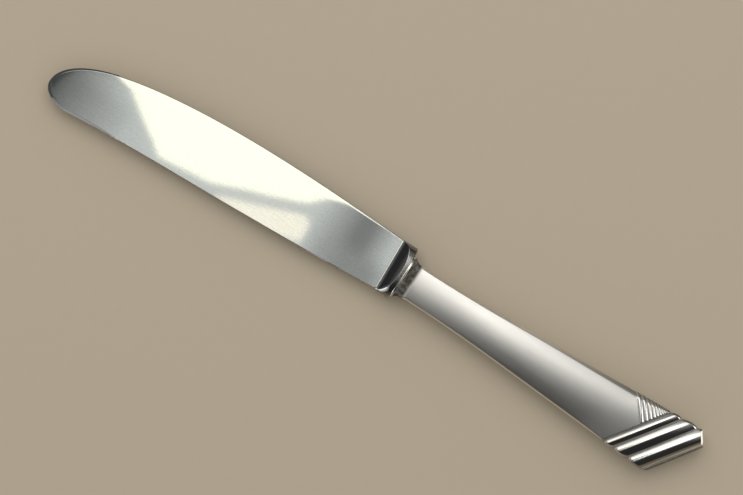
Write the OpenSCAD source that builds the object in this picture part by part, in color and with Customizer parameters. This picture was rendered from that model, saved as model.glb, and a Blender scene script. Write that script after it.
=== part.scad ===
// Hollow-handled table knife, lying on its side.
// A forged steel blade carries its own shoulder and tang. The handle is two stamped
// halves soldered along their rims, closed at the mouth by a soldered ferrule plate and
// filled with the cement that grips the tang.
// +X runs to the tip, +Y to the back of the blade and +Z up, in millimetres.
// Lengths along the knife are measured from the mouth of the handle.

/* [Blade] */
// Length of the blade from its shoulder to its tip
blade_length = 124.1; // [110:0.1:140]
// Reach of the cutting edge from the handle's axis at the heel
heel_edge = 9.95; // [9:0.05:10]
// Reach of the back of the blade from the handle's axis at the heel
heel_back = 8.15; // [7:0.05:8.5]
// Pull of the cutting edge away from the axis behind the belly
belly_pull = 1.05; // [0:0.05:2]
// Length over which the edge leaves the heel
heel_run = 35; // [20:1:45]
// Distance from the tip back to where the edge starts to sweep to the tip
sweep_length = 19.1; // [15:0.1:25]
// Reach of the edge from the axis where the sweep starts
sweep_edge = 4.95; // [3:0.05:7]
// Slope of the edge where the sweep starts, in degrees
sweep_slope = 13; // [8:0.5:18]
// Length of straight run that the belly keeps on meeting the sweep
belly_run = 30.8; // [20:0.1:40]
// Length of straight run that the sweep keeps on leaving the belly
sweep_run = 10.3; // [6:0.1:12]
// Height of the very tip above the axis, towards the back
tip_rise = 8.8; // [6:0.1:10]
// Distance from the tip back to the highest point of the back
crest_length = 9.1; // [7:0.1:12]
// Height of that highest point above the axis
crest_rise = 14.55; // [13:0.05:16]
// Fullness of the tip's rounding on the side of the edge, as a share of its height
tip_edge_fullness = 0.47; // [0.3:0.01:0.6]
// Fullness of the tip's rounding on the side of the back, as a share of its height
tip_back_fullness = 0.56; // [0.4:0.01:0.7]
// Fullness of the crest's rounding, as a share of its length
crest_fullness = 0.55; // [0.4:0.01:0.7]
// Length of the back between its crest and its dip
dip_run = 32; // [20:1:40]
// Length of the back between its swell and the heel
swell_run = 43; // [30:1:50]
// Height that the middle of the back dips towards, ahead of the crest
dip_rise = 11.2; // [10.5:0.05:13]
// Height that the back swells towards, ahead of the heel
swell_rise = 11.9; // [10:0.05:12.5]
// Thickness of the back at the heel
heel_thickness = 2.6; // [2.2:0.05:3.2]
// Thinning of each side from the back to the edge, in degrees
edge_taper = 2.3; // [1.5:0.1:2.4]
// Thinning of each side from the heel to the tip, in degrees
tip_taper = 0.25; // [0.1:0.01:0.28]

/* [Shoulder and tang] */
// Thickness of the shoulder's oval band
shoulder_thickness = 9.6; // [8.8:0.1:10]
// Reach of the band from the axis on the side of the edge
shoulder_edge = 10.05; // [10.05:0.05:11]
// Reach of the band from the axis on the side of the back
shoulder_back = 8.6; // [8.55:0.05:9.5]
// Length of the band at its crown
band_length = 1.35; // [1:0.05:3]
// Slope of the shoulder's faces down to the blade, in degrees
shoulder_slope = 45; // [38:1:52]
// Width of the groove behind the band
groove_width = 0.3; // [0.2:0.05:0.5]
// Depth of the groove behind the band
groove_depth = 0.5; // [0.2:0.05:0.8]
// Squareness of the band's oval (2 is an ellipse)
band_squareness = 2.5; // [2:0.1:3]
// Width of the flat on each crown of the band, on which the knife lies
band_flat = 6; // [5:0.5:8]
// Length of the tang inside the handle
tang_length = 62; // [40:1:75]
// Width of the tang at the shoulder
tang_width = 6; // [4:0.1:7]
// Width of the tang at its end
tang_end_width = 3.6; // [2.5:0.1:4]
// Thickness of the tang at the shoulder
tang_thickness = 3.6; // [3:0.1:4.4]
// Thickness of the tang at its end
tang_end_thickness = 2.4; // [2:0.1:3]

/* [Ferrule] */
// Thickness of the ferrule plate that closes the mouth of the handle
plate_thickness = 0.6; // [0.4:0.05:1]
// How far the plate stands proud of the handle's lip
plate_lip = 0.15; // [0.05:0.05:0.3]
// Depth of the plate's spigot inside the mouth
spigot_depth = 1.2; // [0.8:0.1:2]

/* [Handle] */
// Length of the handle from its mouth to the point of its butt
handle_length = 110.8; // [100:0.1:125]
// Width of the handle at its neck
neck_width = 12; // [11:0.05:13]
// Thickness of the handle at its neck
neck_thickness = 7.4; // [7:0.1:8.4]
// Width of the flared lip at the mouth
lip_width = 15; // [13.5:0.1:15.6]
// Thickness of the flared lip at the mouth
lip_thickness = 9.2; // [8.6:0.1:9.4]
// Length over which the flare dies away
flare_length = 1.3; // [0.8:0.1:2.5]
// Width that the taper reaches at the point of the butt
butt_width = 22.4; // [20:0.1:25]
// Thickness that the taper reaches at the point of the butt
butt_thickness = 10.4; // [9.4:0.1:12]
// Distance from the mouth to where the handle starts to widen
taper_start = 20.9; // [10:0.1:40]
// Length over which the neck turns into the taper
taper_blend = 12; // [5:1:25]
// Squareness of the handle's section at its neck (2 is an ellipse)
handle_squareness = 3; // [2.4:0.1:3.4]
// Squareness of the handle's section at its ribs
butt_squareness = 5; // [3:0.5:6]
// Thickness of the sheet that the halves are stamped from
sheet = 0.9; // [0.75:0.05:1.1]
// Thickness of the solder between the halves and under the plate
solder = 0.15; // [0.08:0.01:0.25]

/* [Butt] */
// Angle of the ribs and of the butt's two end edges to the handle's axis, in degrees
rib_angle = 55; // [50:0.5:65]
// Distance of the butt's point from the axis, towards the edge
point_offset = 6.3; // [4:0.1:7]
// Width of the rib that rounds over to the end of the butt
end_rib = 6.45; // [5.5:0.05:8]
// Distance from the end of the butt to that rib's crest
end_rib_crest = 3.8; // [3:0.1:5]
// Width of the middle rib
middle_rib = 4.65; // [3:0.05:5]
// Width of the first rib
first_rib = 3.3; // [3:0.05:5]
// Height of the ribs' crests over the plain surface
rib_crest = 0.25; // [0.1:0.05:0.4]
// Depth of the valleys between the ribs below the plain surface
rib_valley = 0.5; // [0.2:0.05:0.5]
// Height of the blunt edge at the end of the butt, over the seam
end_height = 0.8; // [0.5:0.1:1.2]
// Rounding of the butt's corner, in plan
end_corner = 1.2; // [0.5:0.1:2]

/* [Fits] */
// Clearance of the tang, the spigot and the cement in what holds them
fit_gap = 0.05; // [0.02:0.01:0.1]
// Gap between the shoulder and the ferrule plate
seat_gap = 0.05; // [0:0.01:0.1]

/* [Hidden] */

// Points on each curve of the blade's outline
curve_steps = 24;
// Points round each oval of the shoulder and the ferrule
oval_steps = 72;
// Points across each half of the handle
across_steps = 22;
// Points across each rib
rib_steps = 8;
// Stations from the mouth to the first rib
plain_steps = 24;
// How much closer together the stations lie towards the mouth (1 spaces them evenly)
crowding = 1.6;
// Length ahead of the first rib by which the stations have taken up the ribs' lean
lean_margin = 4;
// Larger than the knife, for planes that cut it
reach = 400;

// Places along the knife, from the mouth of the handle
plate_back = solder;
plate_front = plate_back + plate_thickness;
shoulder_heel = plate_front + seat_gap;
band_back = shoulder_heel + groove_width;
band_rim = band_back + band_length;
// Half thickness of the blade under the shoulder, midway between the back and the edge
root_half = heel_thickness / 2 - tan(edge_taper) * (heel_back + heel_edge) / 2;
shoulder_run = (shoulder_thickness / 2 - root_half) / tan(shoulder_slope);
heel = band_rim + shoulder_run;
tip = heel + blade_length;

// One cubic curve through two ends and two pulls
function cubic(a, b, c, d, t) =
    a * pow(1 - t, 3) + b * 3 * t * pow(1 - t, 2) + c * 3 * pow(t, 2) * (1 - t) + d * pow(t, 3);
function curve(a, b, c, d) =
    [for (i = [0:curve_steps - 1]) cubic(a, b, c, d, i / curve_steps)];

// The blade's outline: heel to sweep along the edge, round the tip, and back along the back
edge_heel = [heel, -heel_edge];
edge_sweep = [tip - sweep_length, -sweep_edge];
very_tip = [tip, tip_rise];
back_crest = [tip - crest_length, crest_rise];
back_heel = [heel, heel_back];
sweep_dir = [cos(sweep_slope), sin(sweep_slope)];
edge_pull = [heel + heel_run, -heel_edge - belly_pull];
belly_end_pull = edge_sweep - belly_run * sweep_dir;
tip_start_pull = edge_sweep + sweep_run * sweep_dir;
tip_edge_pull = [tip, tip_rise - (tip_rise + sweep_edge) * tip_edge_fullness];
tip_back_pull = [tip, tip_rise + (crest_rise - tip_rise) * tip_back_fullness];
crest_pull = [tip - crest_length * (1 - crest_fullness), crest_rise];
dip_pull = [tip - crest_length - dip_run, dip_rise];
swell_pull = [heel + swell_run, swell_rise];
outline = concat(
    curve(edge_heel, edge_pull, belly_end_pull, edge_sweep),
    curve(edge_sweep, tip_start_pull, tip_edge_pull, very_tip),
    curve(very_tip, tip_back_pull, crest_pull, back_crest),
    curve(back_crest, dip_pull, swell_pull, back_heel),
    [back_heel, [band_back, heel_back], [band_back, -heel_edge]]);

// A rounded oval as [y, z] points
function oval(half_y, half_z, squareness, centre = 0) =
    [for (i = [0:oval_steps - 1])
        let (turn = 360 * i / oval_steps, c = cos(turn), s = sin(turn))
        [centre + half_y * sign(c) * pow(abs(c), 2 / squareness),
         half_z * sign(s) * pow(abs(s), 2 / squareness)]];

// The handle's growth, from 0 at its mouth to 1 at the point of the butt
function past_start(x) = -x - taper_start;
function widening(x) = past_start(x) + sqrt(pow(past_start(x), 2) + pow(taper_blend, 2));
function grown(x) = (widening(x) - widening(0)) / (widening(-handle_length) - widening(0));
function flare(x) = exp(min(x, 0) / flare_length);
function half_width(x) = (neck_width + (butt_width - neck_width) * grown(x)
    + (lip_width - neck_width) * flare(x)) / 2;
function half_thickness(x) = (neck_thickness + (butt_thickness - neck_thickness) * grown(x)
    + (lip_thickness - neck_thickness) * flare(x)) / 2;

// Ribs run across the axis at rib_angle. A station is named by where it crosses the axis,
// and its line leans from square at the mouth to the ribs' own lean at the first rib.
lean = 1 / tan(rib_angle);
end_station = -handle_length + lean * point_offset;
ribs_width = end_rib + middle_rib + first_rib;
first_station = end_station + ribs_width / sin(rib_angle);
lean_start = -taper_start;
function eased(t) = let (u = min(max(t, 0), 1)) u * u * (3 - 2 * u);
lean_end = first_station + lean_margin;
function leaning(a) = eased((a - lean_start) / (lean_end - lean_start));
function station_lean(a) = lean * leaning(a);
// The section grows squarer as the stations take up the ribs' lean
function squareness(a) = handle_squareness + (butt_squareness - handle_squareness) * leaning(a);
// Distance from the end of the butt, square to the ribs
function from_end(a) = (a - end_station) * sin(rib_angle);

// The ribs' height at a distance from the end: arcs that meet in valleys
function arch(e, low, high, crest) =
    let (q = e < crest ? (crest - e) / (crest - low) : (e - crest) / (high - crest))
    rib_crest - (rib_crest + rib_valley) * q * q;
function rib_height(e) =
    e > ribs_width ? -rib_valley * eased(1 - (e - ribs_width) / rib_valley)
    : e > end_rib + middle_rib ? arch(e, end_rib + middle_rib, ribs_width, ribs_width - first_rib / 2)
    : e > end_rib ? arch(e, end_rib, end_rib + middle_rib, end_rib + middle_rib / 2)
    : e > end_rib_crest ? arch(e, 0, end_rib, end_rib_crest)
    : rib_crest;
// How far the end rounds over: 1 at the end rib's crest, 0 at the very end
function round_over(e) = e > end_rib_crest ? 1 : sqrt(1 - pow(1 - max(e, 0) / end_rib_crest, 2));

// The butt's short end edge cuts the corner on the side of the edge
rib_dir = [cos(rib_angle), sin(rib_angle)];
cut_normal = [-sin(rib_angle), -cos(rib_angle)];
cut_place = cut_normal * [-handle_length, -point_offset];
function cut_corner(p, inset) =
    let (past = cut_normal * p - (cut_place - inset))
    past > 0 ? p - rib_dir * past / (cut_normal * rib_dir) : p;

// Reach of the handle from its axis along a leaning station, towards side +1 or -1
function reach_at(a, side) =
    let (k = station_lean(a) * side, first = half_width(a), second = half_width(a + k * first))
    half_width(a + k * second);

// A point of the handle's skin at a station and a turn, inset from the outer face.
// Ribs are left off where ribbed is 0, and low is the height that the skin's rim lies at.
function skin(a, turn, inset, ribbed, low) =
    let (e = from_end(a) - inset, rib = ribbed * rib_height(from_end(a)), c = cos(turn),
         s = max(sin(turn), 0), over = round_over(e), power = 2 / squareness(a),
         side = c < 0 ? -1 : 1,
         widest = reach_at(a, side) + rib - inset - end_corner * (1 - over),
         y = side * widest * pow(abs(c), power),
         top = max((half_thickness(a) + rib - inset) * over, low + end_height - inset / 2),
         p = cut_corner([a + station_lean(a) * y, y], inset))
    [p[0], p[1], low + (top - low) * pow(s, power)];

// Stations from the mouth to the ribs, closer together at the flare, and on over the ribs
function plain_run(steps, start, stop) =
    [for (i = [0:steps - 1]) start + (stop - start) * pow(i / steps, crowding)];
function across(low, high, steps) = [for (i = [0:steps - 1]) high + (low - high) * i / steps];
rib_marks = concat(
    across(end_rib + middle_rib, ribs_width, rib_steps),
    across(end_rib, end_rib + middle_rib, rib_steps),
    across(end_rib_crest, end_rib, rib_steps),
    [for (i = [0:rib_steps]) end_rib_crest * (1 - sin(90 * i / rib_steps))]);
rib_stations = [for (e = rib_marks) end_station + e / sin(rib_angle)];
ramp_station = first_station + rib_valley / sin(rib_angle);
skin_stations = concat(plain_run(plain_steps, 0, ramp_station), [ramp_station], rib_stations);
lining_end = end_station + sheet / sin(rib_angle);
lining_stations = [for (a = skin_stations) a * lining_end / end_station];

turns = [for (j = [0:across_steps]) 180 * j / across_steps];
rim_height = solder / 2;
skin_points = [for (a = skin_stations, t = turns) skin(a, t, 0, 1, rim_height)];
lining_points = [for (a = lining_stations, t = turns) skin(a, t, sheet, 0, rim_height)];

// The knife's box, to set the origin at the middle of its underside
handle_top = max([for (p = skin_points) p[2]]);
all_y = concat([for (p = skin_points) p[1]], [for (p = outline) p[1]], [-shoulder_edge, shoulder_back]);
deepest = max(handle_top, shoulder_thickness / 2);
origin = [(tip - handle_length) / 2, (min(all_y) + max(all_y)) / 2, -deepest];

// Everything is drawn from the handle's axis and then set on the ground
module placed() {
    translate(-origin) children();
}

// An oval or other [y, z] outline, extruded along the knife
module along(from, to) {
    translate([from, 0, 0]) rotate([90, 0, 90]) linear_extrude(height = to - from) children();
}

// The space under a plane that leans by the blade's two tapers
module under_side() {
    fall = [tan(tip_taper), -tan(edge_taper)];
    translate([heel, heel_back, heel_thickness / 2])
        rotate([asin(-fall[1] / norm([fall[0], fall[1], 1])), atan(fall[0]), 0])
        translate([-reach / 2, -reach / 2, -reach]) cube(reach);
}

module blade_plate() {
    intersection() {
        linear_extrude(height = reach, center = true) polygon(outline);
        under_side();
        mirror([0, 0, 1]) under_side();
    }
}

// The oval band, flat on its crowns, and its faces sloping down to the blade
module shoulder() {
    half = (shoulder_edge + shoulder_back) / 2;
    centre = (shoulder_back - shoulder_edge) / 2;
    flat_share = pow(1 - pow(band_flat / 2 / half, band_squareness), 1 / band_squareness);
    nose = heel + root_half / tan(shoulder_slope);
    far = reach / tan(shoulder_slope);
    difference() {
        intersection() {
            along(band_back, nose)
                polygon(oval(half, shoulder_thickness / 2 / flat_share, band_squareness, centre));
            cube([reach, reach, shoulder_thickness], center = true);
        }
        rotate([90, 0, 0]) linear_extrude(height = reach, center = true)
            polygon([[nose, 0], [nose - far, reach], [nose + reach, reach], [nose + reach, -reach],
                     [nose - far, -reach]]);
    }
    along(shoulder_heel, band_back)
        polygon(oval(half - groove_depth, shoulder_thickness / 2 - groove_depth, band_squareness, centre));
}

// The tapered tang, or the hole for it where gap is over 0
module tang(gap) {
    root = band_back;
    end = shoulder_heel - tang_length - gap;
    intersection() {
        linear_extrude(height = reach, center = true)
            polygon([[root, tang_width / 2 + gap], [end, tang_end_width / 2 + gap],
                     [end, -tang_end_width / 2 - gap], [root, -tang_width / 2 - gap]]);
        rotate([90, 0, 0]) linear_extrude(height = reach, center = true)
            polygon([[root, tang_thickness / 2 + gap], [end, tang_end_thickness / 2 + gap],
                     [end, -tang_end_thickness / 2 - gap], [root, -tang_thickness / 2 - gap]]);
    }
}

module blade() {
    color("gainsboro") placed() union() {
        blade_plate();
        shoulder();
        tang(0);
    }
}

// The plate that closes the mouth, with its spigot and the tang's slot
module ferrule_plate() {
    spigot_y = half_width(-spigot_depth) - sheet - fit_gap;
    spigot_z = half_thickness(-spigot_depth) - sheet - fit_gap;
    color("silver") placed() difference() {
        union() {
            along(plate_back, plate_front)
                polygon(oval(lip_width / 2 + plate_lip, lip_thickness / 2 + plate_lip, handle_squareness));
            along(-spigot_depth, plate_back) polygon(oval(spigot_y, spigot_z, handle_squareness));
        }
        tang(fit_gap);
    }
}

// A stamped half as one closed skin: outer face, lining, mouth, rims and end walls
row = across_steps + 1;
rows = len(skin_stations);
lining_first = rows * row;
function quad(a, b, c, d) = [[a, b, c], [a, c, d]];
function sheet_faces(first, flip) =
    [for (i = [0:rows - 2], j = [0:across_steps - 1])
        let (a = first + i * row + j)
        each flip ? quad(a, a + row, a + row + 1, a + 1) : quad(a, a + 1, a + row + 1, a + row)];
function rim_faces(j, flip) =
    [for (i = [0:rows - 2])
        let (a = i * row + j, b = a + lining_first)
        each flip ? quad(a, b, b + row, a + row) : quad(a, a + row, b + row, b)];
function backwards(list) = [for (i = [len(list) - 1:-1:0]) list[i]];

module handle_half() {
    mouth = [for (j = [0:across_steps - 1]) each quad(j, lining_first + j, lining_first + j + 1, j + 1)];
    last = (rows - 1) * row;
    end_wall = [for (j = [1:across_steps - 1]) [last, last + j, last + j + 1]];
    lining_wall = [for (f = end_wall) [f[0] + lining_first, f[2] + lining_first, f[1] + lining_first]];
    end_rim = quad(last, last + across_steps, last + across_steps + lining_first, last + lining_first);
    polyhedron(
        points = concat(skin_points, lining_points),
        faces = concat(sheet_faces(0, false), sheet_faces(lining_first, true), mouth,
            rim_faces(0, false), rim_faces(across_steps, true), end_wall, lining_wall, end_rim),
        convexity = 6);
}

module handle_front_half() {
    color("lightgray") placed() handle_half();
}

module handle_back_half() {
    color("darkgray") placed() mirror([0, 0, 1]) handle_half();
}

// The solder run between the two rims, flush inside and out
module seam_solder() {
    outer = concat([for (a = skin_stations) skin(a, 0, 0, 1, 0)],
        [for (a = backwards(skin_stations)) skin(a, 180, 0, 1, 0)]);
    inner = concat([for (a = lining_stations) skin(a, 0, sheet, 0, 0)],
        [for (a = backwards(lining_stations)) skin(a, 180, sheet, 0, 0)]);
    color("whitesmoke") placed() linear_extrude(height = solder, center = true)
        polygon([for (p = concat(outer, backwards(inner))) [p[0], p[1]]]);
}

// The ring of solder between the ferrule plate and the handle's lip
module ferrule_solder() {
    color("whitesmoke") placed() difference() {
        along(0, plate_back) polygon(oval(lip_width / 2, lip_thickness / 2, handle_squareness));
        along(-reach, reach)
            polygon(oval(lip_width / 2 - sheet, lip_thickness / 2 - sheet, handle_squareness));
    }
}

// The cement that fills the handle behind the spigot and grips the tang
module handle_cement() {
    inset = sheet + fit_gap;
    cement_end = end_station + inset / sin(rib_angle);
    cement_start = -spigot_depth - fit_gap;
    stations = concat(plain_run(plain_steps, cement_start, first_station),
        [for (i = [0:rib_steps]) first_station + (cement_end - first_station) * sin(90 * i / rib_steps)]);
    loop = 2 * across_steps;
    points = [for (a = stations, j = [0:loop - 1])
        let (upper = j <= across_steps, turn = 180 * (upper ? j : loop - j) / across_steps,
             p = skin(a, turn, inset, 0, 0))
        [p[0], p[1], upper ? p[2] : -p[2]]];
    sides = [for (i = [0:len(stations) - 2], j = [0:loop - 1])
        let (a = i * loop + j, b = i * loop + (j + 1) % loop)
        each [[a, b + loop, b], [a, a + loop, b + loop]]];
    front = [for (j = [0:loop - 1]) j];
    back = [for (j = [0:loop - 1]) (len(stations) - 1) * loop + j];
    color("peru") placed() difference() {
        polyhedron(points = points, faces = concat(sides, [front], [backwards(back)]), convexity = 4);
        tang(fit_gap);
    }
}

blade();
ferrule_plate();
handle_front_half();
handle_back_half();
seam_solder();
ferrule_solder();
handle_cement();
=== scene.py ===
# %% [markdown]
# # A hollow-handled table knife
# The knife has a steel blade, forged in one with its shoulder and tang, and a hollow silver handle stamped
# in two halves. This lesson builds what shows of it round the construction model, which stays as a fixed
# frame. Every length below is a real one in millimetres, and `MM` turns it into Blender's metres.

# %% Load the construction model
import math

import bpy
import numpy as np
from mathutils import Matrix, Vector


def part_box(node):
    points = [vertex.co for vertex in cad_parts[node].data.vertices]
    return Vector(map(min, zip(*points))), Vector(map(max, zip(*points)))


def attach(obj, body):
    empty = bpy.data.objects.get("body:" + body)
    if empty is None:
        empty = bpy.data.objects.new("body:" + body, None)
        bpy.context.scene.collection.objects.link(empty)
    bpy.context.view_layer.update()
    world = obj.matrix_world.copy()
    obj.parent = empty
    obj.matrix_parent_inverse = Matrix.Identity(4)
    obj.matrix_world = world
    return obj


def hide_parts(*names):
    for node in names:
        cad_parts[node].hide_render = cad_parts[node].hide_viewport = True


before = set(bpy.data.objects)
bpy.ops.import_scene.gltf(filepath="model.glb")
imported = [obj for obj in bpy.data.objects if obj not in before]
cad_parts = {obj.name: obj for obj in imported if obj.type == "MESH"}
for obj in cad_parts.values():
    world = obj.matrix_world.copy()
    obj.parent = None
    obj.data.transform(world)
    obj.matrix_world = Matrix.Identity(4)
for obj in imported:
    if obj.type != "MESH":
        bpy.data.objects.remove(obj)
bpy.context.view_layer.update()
MM = 0.001
print("nodes", sorted(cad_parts))

# %% [markdown]
# ## The knife's own axes
# A cutler measures from the mouth of the handle, along its axis and up from the seam between its halves.
# The frame gives that point: the mouth is the handle's foremost end, and the ferrule plate lies evenly
# about the axis. Pieces are shaped in these axes and set down at `mouth` when they are done.

# %% The knife's axes
handle_low, handle_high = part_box("handle_front_half")
plate_low, plate_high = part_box("ferrule_plate")
blade_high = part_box("blade")[1]
axis_point = (plate_low + plate_high) / 2
mouth = Vector((handle_high.x, axis_point.y, axis_point.z))
handle_length = (handle_high.x - handle_low.x) / MM
tip = (blade_high.x - mouth.x) / MM
print("mouth of the handle in mm", [round(v / MM, 3) for v in mouth])
print("handle", round(handle_length, 2), "mm, tip", round(tip, 2), "mm from the mouth")

# %% [markdown]
# ## The camera
# The photograph looks straight down on the knife, which slants across it with its tip at the upper left. So
# the camera hangs over one point of the knife and is turned about the vertical. It hangs high, with a long
# lens, which keeps the raised faces in line with the outline below them.

# %% The camera
view_width = 239.7
view_height = 1000.0
view_along = 14.0
view_across = -2.3
view_turn = math.radians(212.9)
sensor = 36.0


def placed(along, across, up):
    """A point in the knife's axes, in millimetres, as a place in Blender."""
    return mouth + Vector((along, across, up)) * MM


bpy.ops.object.select_all(action="DESELECT")
bpy.ops.object.camera_add(location=placed(view_along, view_across, view_height), rotation=(0, 0, view_turn))
camera = bpy.context.object
camera.name = "camera_over_knife"
camera.data.sensor_width = sensor
camera.data.lens = sensor * view_height / view_width
camera.data.dof.use_dof = False
bpy.context.scene.camera = camera
image_up = Vector((-math.sin(view_turn), math.cos(view_turn), 0))
print("lens", round(camera.data.lens, 1), "mm")

# %% [markdown]
# ## Shaping a sheet
# Stamped and ground metal has smooth faces that change along their whole length. By hand one would pull a
# grid into shape row by row. Here a grid primitive is added with as many rows and columns as the face
# needs, and a formula gives every corner its place.


# %% Helpers for shaped sheets
seam_gap = 1e-7


def pick(piece):
    """Select one piece by itself and make it the active one."""
    bpy.ops.object.select_all(action="DESELECT")
    piece.select_set(True)
    bpy.context.view_layer.objects.active = piece


def edit(action="SELECT"):
    """Go into edit mode with all or none of the active piece selected."""
    bpy.ops.object.mode_set(mode="EDIT")
    bpy.ops.mesh.select_all(action=action)


def leave_edit():
    """Go back to object mode."""
    bpy.ops.object.mode_set(mode="OBJECT")


def flat_grid(name, rows, columns):
    """A flat grid with that many rows and columns of corners, selected by itself."""
    bpy.ops.object.select_all(action="DESELECT")
    bpy.ops.mesh.primitive_grid_add(x_subdivisions=rows - 1, y_subdivisions=columns - 1, size=2)
    grid = bpy.context.object
    grid.name = name
    grid.data.name = name
    return grid


def shape_grid(grid, places):
    """Move the corners of a grid to places[row, column], given in millimetres."""
    count = len(grid.data.vertices)
    flat = np.empty(count * 3)
    grid.data.vertices.foreach_get("co", flat)
    share = (flat.reshape(count, 3) + 1) / 2
    row = np.rint(share[:, 0] * (places.shape[0] - 1)).astype(int)
    column = np.rint(share[:, 1] * (places.shape[1] - 1)).astype(int)
    grid.data.vertices.foreach_set("co", (places[row, column] * MM).ravel())
    grid.data.update()
    return row, column


def note_on_corners(grid, name, values):
    """Keep one number per corner, for the finish to read."""
    note = grid.data.attributes.new(name, "FLOAT", "POINT")
    note.data.foreach_set("value", values.astype(np.float32))


def settle(piece):
    """Close seams, turn faces outwards and set the finished mesh down at the knife's place."""
    pick(piece)
    edit()
    bpy.ops.mesh.remove_doubles(threshold=seam_gap)
    bpy.ops.mesh.dissolve_degenerate(threshold=seam_gap)
    bpy.ops.mesh.select_all(action="SELECT")
    bpy.ops.mesh.normals_make_consistent(inside=False)
    leave_edit()
    piece.location = mouth
    bpy.ops.object.transform_apply(location=True, rotation=True, scale=True)


def triangles(piece):
    """How many triangles a piece comes to."""
    return sum(len(face.vertices) - 2 for face in piece.data.polygons)


def eased(share):
    """A smooth step from 0 to 1."""
    held = np.clip(share, 0, 1)
    return held * held * (3 - 2 * held)


# %% [markdown]
# ## The handle's taper
# The handle keeps one width behind its mouth and then widens steadily to the butt. A hyperbola does both:
# it runs level, bends once and runs on straight. A quick decay is added at the mouth for the flared lip.

# %% The handle's taper
neck_width = 12.0
neck_thickness = 7.4
lip_width = 15.0
lip_thickness = 9.2
flare_length = 1.3
butt_width = 22.4
butt_thickness = 10.4
taper_start = 20.9
taper_blend = 12.0


def widening(x):
    """Runs level ahead of the taper's start and rises steadily behind it."""
    past = -x - taper_start
    return past + np.hypot(past, taper_blend)


def half_size(x, neck, lip, butt):
    """Half the handle's width or thickness at a place along its axis."""
    grown = (widening(x) - widening(0.0)) / (widening(-handle_length) - widening(0.0))
    flare = np.exp(np.minimum(x, 0.0) / flare_length)
    return (neck + (butt - neck) * grown + (lip - neck) * flare) / 2


def half_width(x):
    """Half the handle's width."""
    return half_size(x, neck_width, lip_width, butt_width)


def half_thickness(x):
    """Half the handle's thickness."""
    return half_size(x, neck_thickness, lip_thickness, butt_thickness)


print("half widths", [round(float(half_width(x)), 2) for x in (0.0, -10.0, -60.0, -handle_length)])

# %% [markdown]
# ## The slanting ribs
# Three ribs cross the butt on the slant. On the real handle they are struck by the die, as arcs that meet in
# sharp valleys. The first two lean a little towards the blade, and the last one rolls over to the end. Rows
# of the grid slant gradually until they lie along the ribs, so that each valley falls on a row and stays
# sharp.

# %% The ribs' heights
rib_angle = math.radians(55)
point_offset = 6.3
end_rib = 6.45
end_rib_crest = 4.0
middle_rib = 4.65
first_rib = 3.3
rib_crest = 0.25
rib_lean = 0.2
rib_valley = 0.5
end_height = 0.8
end_corner = 1.2
lean_margin = 4.0
lean = 1 / math.tan(rib_angle)
end_station = -handle_length + lean * point_offset
ribs_width = end_rib + middle_rib + first_rib
first_station = end_station + ribs_width / math.sin(rib_angle)


def station_lean(a):
    """How far the row through a place on the axis leans."""
    start = -taper_start
    return lean * eased((a - start) / (first_station + lean_margin - start))


def from_end(a):
    """Distance of a row from the end of the butt, square to the ribs."""
    return (a - end_station) * math.sin(rib_angle)


def arch(e, low, high, crest):
    """An arc that is highest at its crest and falls to a valley at both ends."""
    share = np.where(e < crest, (crest - e) / (crest - low), (e - crest) / (high - crest))
    return rib_crest - (rib_crest + rib_valley) * share * share


def rib_height(e):
    """Height of the ribs over the plain handle, at a distance from the end."""
    second = end_rib + middle_rib
    ramp = -rib_valley * eased(1 - (e - ribs_width) / rib_valley)
    first = arch(e, second, ribs_width, ribs_width - first_rib / 2 + rib_lean)
    middle = arch(e, end_rib, second, end_rib + middle_rib / 2 + rib_lean)
    last = arch(e, 0.0, end_rib, end_rib_crest)
    steps = [e > ribs_width, e > second, e > end_rib, e > end_rib_crest]
    return np.select(steps, [ramp, first, middle, last], rib_crest)


def round_over(e):
    """1 at the last rib's crest and 0 at the very end, on a quarter of an ellipse."""
    share = 1 - np.clip(e, 0, end_rib_crest) / end_rib_crest
    return np.where(e > end_rib_crest, 1.0, np.sqrt(1 - share * share))


print("ribs start", round(first_station, 2), "and end", round(end_station, 2), "mm from the mouth")

# %% [markdown]
# ## The handle's skin
# Each half is a shallow pressing: its face is gently crowned, less so at the neck and hardly at all under the
# ribs, and close to the seam it rolls over into a steep side. Near the end its corner is cut off by a second
# edge, so that the butt comes to a blunt point. That facet leans in from the seam, so it shows from above. On
# the edge's side the roll gets wider towards the ribs.

# %% The handle's skin
neck_crown = 0.15
full_crown = 0.28
rib_crown = 0.18
crown_length = 60.0
crown_fade = 14.0
side_roll = 0.8
edge_roll = 1.8
edge_roll_start = 45.0
edge_roll_length = 40.0
rib_back_roll = 0.5
rib_edge_roll = 0.7
rib_roll_power = 4
least_roll = 0.3
most_roll_share = 0.45
side_roundness = 2.4
facet_roll = 0.9
facet_roundness = 1.35
facet_blend = 0.6
roll_steps = 12
back_steps = 26
edge_steps = 110
cut_normal = np.array([-math.sin(rib_angle), -math.cos(rib_angle)])
cut_place = float(cut_normal @ np.array([-handle_length, -point_offset]))


def ribbed_share(a):
    """0 along the plain handle and 1 where the ribs are."""
    return eased((first_station + crown_fade - a) / crown_fade)


def crown_at(a):
    """How far the face falls from its middle to its rim, as a share of its height."""
    plain = neck_crown + (full_crown - neck_crown) * eased(-a / crown_length)
    return plain + (rib_crown - plain) * ribbed_share(a)


def reach_at(a, side):
    """Half width of the handle along a leaning row, towards one side."""
    slope = station_lean(a) * side
    first = half_width(a)
    second = half_width(a + slope * first)
    return half_width(a + slope * second)


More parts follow.
